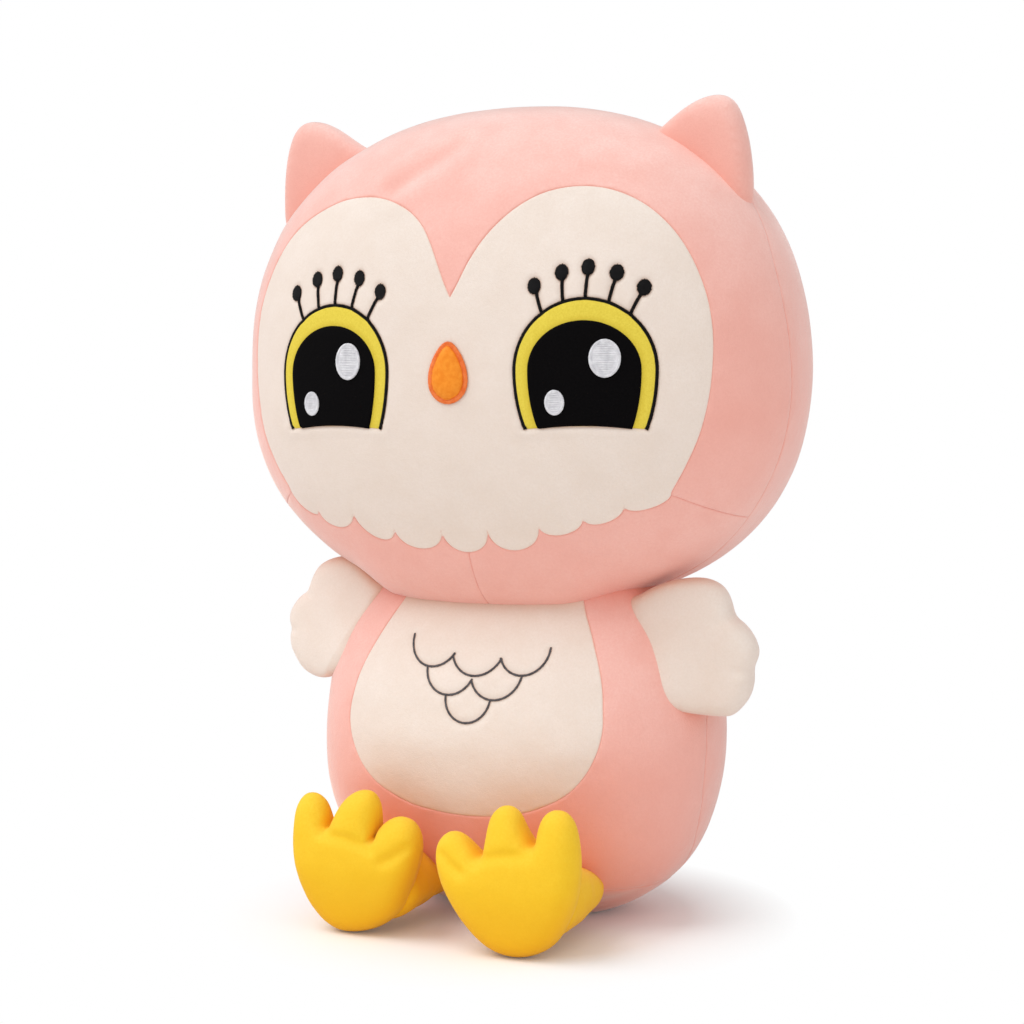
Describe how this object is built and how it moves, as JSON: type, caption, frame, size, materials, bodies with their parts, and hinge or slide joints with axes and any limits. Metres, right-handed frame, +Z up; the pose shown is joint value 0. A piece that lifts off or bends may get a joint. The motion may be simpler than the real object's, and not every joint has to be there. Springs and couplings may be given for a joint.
{
  "type": "plush owl",
  "caption": "Seated stuffed owl toy with a large rounded head, embroidered eyes, padded wings and soft three-toed feet on short legs.",
  "frame": {"origin": "middle of the flat underside of the base panel, on the surface that the toy sits on", "axes": "+Z up along the toy's height, -Y the way the face looks, +X towards the toy's own left wing"},
  "size_m": [0.2912, 0.1995, 0.4009],
  "materials": {
    "pink_plush": "short-pile velour plush, matt, pale salmon pink",
    "cream_plush": "short-pile velour plush, matt, warm cream",
    "yellow_plush": "short-pile velour plush, matt, sunflower yellow",
    "iris_cloth": "flat yellow applique cloth",
    "black_cloth": "flat black applique cloth with a short nap",
    "black_thread": "black satin-stitch embroidery",
    "white_thread": "white satin-stitch embroidery",
    "orange_thread": "orange satin-stitch embroidery over a pad",
    "salmon_thread": "salmon satin-stitch border",
    "grey_thread": "grey stem-stitch line embroidery",
    "stuffing": "white polyester fibre filling"
  },
  "bodies": {
    "head": {"head_filling": "stuffing", "face_panel": "cream_plush", "head_front_panel": "pink_plush", "beak_border": "salmon_thread", "beak": "orange_thread", "chin_panel_left": "pink_plush", "head_back_panel_left": "pink_plush", "ear_left_front_panel": "pink_plush", "ear_left_back_panel": "pink_plush", "ear_left_filling": "stuffing", "eye_left_iris": "iris_cloth", "eye_left_pupil": "black_cloth", "eye_left_outline": "black_thread", "eye_left_highlight_large": "white_thread", "eye_left_highlight_small": "white_thread", "chin_panel_right": "pink_plush", "head_back_panel_right": "pink_plush", "ear_right_front_panel": "pink_plush", "ear_right_back_panel": "pink_plush", "ear_right_filling": "stuffing", "eye_right_iris": "iris_cloth", "eye_right_pupil": "black_cloth", "eye_right_outline": "black_thread", "eye_right_highlight_large": "white_thread", "eye_right_highlight_small": "white_thread"},
    "body": {"body_filling": "stuffing", "base_panel": "pink_plush", "belly_panel": "cream_plush", "body_front_panel": "pink_plush", "chest_embroidery": "grey_thread", "body_back_panel_left": "pink_plush", "body_back_panel_right": "pink_plush"},
    "wing_left": {"wing_left_front_panel": "cream_plush", "wing_left_back_panel": "cream_plush", "wing_left_filling": "stuffing"},
    "leg_left": {"leg_left_cover": "yellow_plush", "foot_left_front_panel": "yellow_plush", "foot_left_back_panel": "yellow_plush", "leg_left_filling": "stuffing", "foot_left_filling": "stuffing"},
    "wing_right": {"wing_right_front_panel": "cream_plush", "wing_right_back_panel": "cream_plush", "wing_right_filling": "stuffing"},
    "leg_right": {"leg_right_cover": "yellow_plush", "foot_right_front_panel": "yellow_plush", "foot_right_back_panel": "yellow_plush", "leg_right_filling": "stuffing", "foot_right_filling": "stuffing"}
  },
  "joints": [
    {"name": "head_nod", "type": "hinge", "parent": "body", "child": "head", "pos_m": [0, 0, 0.205], "axis": [1, 0, 0], "range_deg": [-6, 6], "stiffness_Nm_per_rad": 6},
    {"name": "wing_left_swing", "type": "hinge", "parent": "body", "child": "wing_left", "pos_m": [0.08131, -0.022, 0.139], "axis": [-0.5082, 0, 0.8613], "range_deg": [-55, 30], "stiffness_Nm_per_rad": 0.05},
    {"name": "wing_right_swing", "type": "hinge", "parent": "body", "child": "wing_right", "pos_m": [-0.08131, -0.022, 0.139], "axis": [-0.5082, 0, -0.8613], "range_deg": [-55, 30], "stiffness_Nm_per_rad": 0.05},
    {"name": "leg_left_swing", "type": "hinge", "parent": "body", "child": "leg_left", "pos_m": [0.039, -0.04631, 0.022], "axis": [0.9532, 0.3024, 0], "range_deg": [-15, 60], "stiffness_Nm_per_rad": 0.2},
    {"name": "leg_right_swing", "type": "hinge", "parent": "body", "child": "leg_right", "pos_m": [-0.039, -0.04631, 0.022], "axis": [0.9532, -0.3024, 0], "range_deg": [-15, 60], "stiffness_Nm_per_rad": 0.2}
  ]
}
